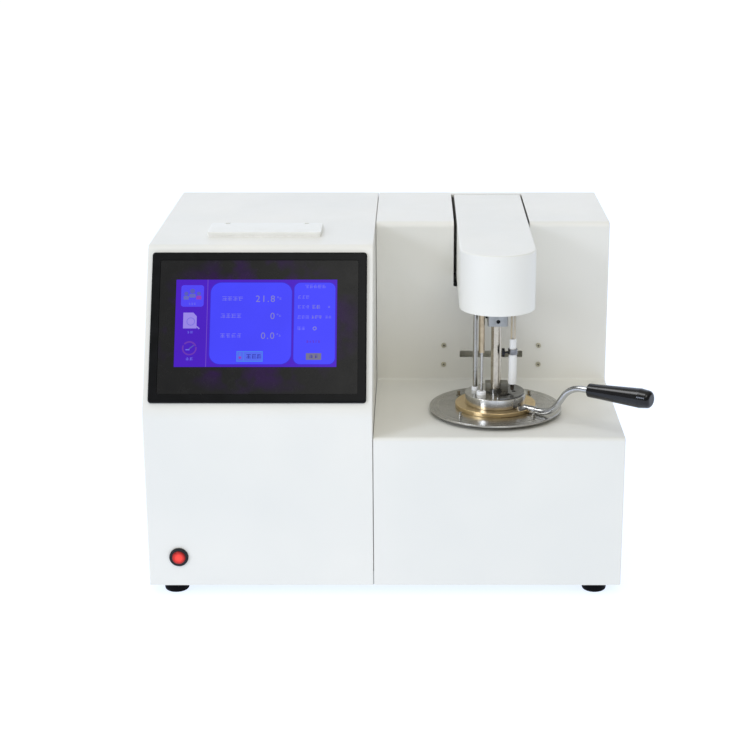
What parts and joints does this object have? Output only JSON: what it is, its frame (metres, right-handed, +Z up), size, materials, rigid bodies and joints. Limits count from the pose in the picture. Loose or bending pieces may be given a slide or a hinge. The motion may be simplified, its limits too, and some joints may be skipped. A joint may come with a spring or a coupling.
{
  "type": "flash point tester",
  "caption": "Automatic closed-cup flash point tester: touch screen cabinet, heated brass cup with a side handle on the table, and a lift arm carrying lid, stirrer, shutter, igniter and probes",
  "frame": {"origin": "middle of the underside of the whole instrument on the bench, cup handle included", "axes": "X from the screen side to the test head side, Y from the front to the rear, Z up"},
  "size_m": [0.4798, 0.3794, 0.3331],
  "materials": {
    "white_paint": "satin powder coat",
    "grey_steel": "satin",
    "bright_steel": "polished",
    "aluminium": "bead blasted",
    "brass": "turned",
    "cast_block": "as cast",
    "dark_steel": "blackened",
    "rubber": "matt",
    "black_gloss": "glossy",
    "black_plastic": "matt",
    "red_lens": "glossy",
    "glass": "glossy",
    "ceramic": "fired",
    "white_plastic": "matt",
    "board": "lacquered",
    "lead_cover": "woven sleeve",
    "paper": "smooth",
    "insulation": "fibrous"
  },
  "bodies": {
    "housing": {"base_pan": "white_paint", "feet": "rubber", "left_cover": "white_paint", "right_cover": "white_paint", "rear_panel_left": "white_paint", "rear_panel_right": "white_paint", "screen_bezel": "black_gloss", "touch_glass": "glass", "display_module": "grey_steel", "printer_body": "black_plastic", "paper_roll": "paper", "button_bezel": "black_gloss", "button_switch": "black_plastic", "control_board": "board", "power_supply": "aluminium", "mains_inlet": "black_plastic", "fan_frame": "black_plastic", "fan_guard": "bright_steel", "bath_tray": "grey_steel", "bath_block": "cast_block", "band_heater": "grey_steel", "bath_jacket": "insulation", "bath_plate": "grey_steel", "bath_posts": "bright_steel", "cup": "brass", "handle_lug": "bright_steel", "handle_rod": "bright_steel", "handle_grip": "black_gloss", "lift_frame": "grey_steel", "lift_rods": "bright_steel", "lift_motor": "black_plastic", "slot_backing": "dark_steel", "slot_screws": "dark_steel"},
    "arm": {"arm_shell": "white_paint", "arm_floor": "aluminium", "arm_mast": "grey_steel", "lift_carriage": "aluminium", "clamp_block": "aluminium", "head_screws": "dark_steel", "head_sleeves": "bright_steel", "temperature_probe": "bright_steel", "flash_detector": "bright_steel", "probe_bosses": "white_plastic", "lid": "bright_steel", "shutter_actuator": "dark_steel", "stirrer_motor": "grey_steel", "igniter_solenoid": "grey_steel"},
    "stirrer_unit": {"stirrer": "bright_steel"},
    "shutter_unit": {"shutter_plate": "grey_steel", "shutter_tube": "bright_steel"},
    "igniter_unit": {"igniter_ceramic": "ceramic", "igniter_coil": "grey_steel", "igniter_push_rod": "bright_steel", "igniter_lead": "lead_cover", "igniter_clip": "dark_steel"},
    "lift_screw_unit": {"lift_screw": "bright_steel"},
    "button": {"button_cap": "red_lens"},
    "printer_flap": {"printer_cover": "white_plastic"},
    "platen": {"platen_roller": "rubber"},
    "fan": {"fan_rotor": "black_plastic"}
  },
  "joints": [
    {"name": "arm_lift", "type": "slide", "parent": "housing", "child": "arm", "axis": [0, 0, 1], "range_m": [0, 0.11]},
    {"name": "lift_screw_turn", "type": "hinge", "parent": "housing", "child": "lift_screw_unit", "pos_m": [0.09627, 0.10692, 0.0585], "axis": [0, 0, 1], "continuous": true},
    {"name": "stirrer_turn", "type": "hinge", "parent": "arm", "child": "stirrer_unit", "pos_m": [0.09627, -0.08608, 0.1604], "axis": [0, 0, 1], "continuous": true},
    {"name": "shutter_turn", "type": "hinge", "parent": "arm", "child": "shutter_unit", "pos_m": [0.09627, -0.08608, 0.1604], "axis": [0, 0, 1], "range_deg": [0, 42]},
    {"name": "igniter_dip", "type": "slide", "parent": "arm", "child": "igniter_unit", "axis": [0, 0, -1], "range_m": [0, 0.007], "stiffness_N_per_m": 60, "springref_m": -0.005},
    {"name": "power_button", "type": "slide", "parent": "housing", "child": "button", "axis": [0, 1, 0], "range_m": [0, 0.0025], "stiffness_N_per_m": 800, "springref_m": -0.001},
    {"name": "printer_flap_hinge", "type": "hinge", "parent": "housing", "child": "printer_flap", "pos_m": [-0.13113, -0.00538, 0.331], "axis": [-1, 0, 0], "range_deg": [0, 95]},
    {"name": "platen_turn", "type": "hinge", "parent": "printer_flap", "child": "platen", "pos_m": [-0.13113, -0.03568, 0.32], "axis": [1, 0, 0], "continuous": true},
    {"name": "fan_turn", "type": "hinge", "parent": "housing", "child": "fan", "pos_m": [-0.10793, 0.18332, 0.215], "axis": [0, 1, 0], "continuous": true}
  ],
  "couplings": [
    {"joint": "lift_screw_turn", "follows": "arm_lift", "rad_per_m": -392.7},
    {"joint": "shutter_turn", "follows": "igniter_dip", "rad_per_m": 104.72}
  ]
}
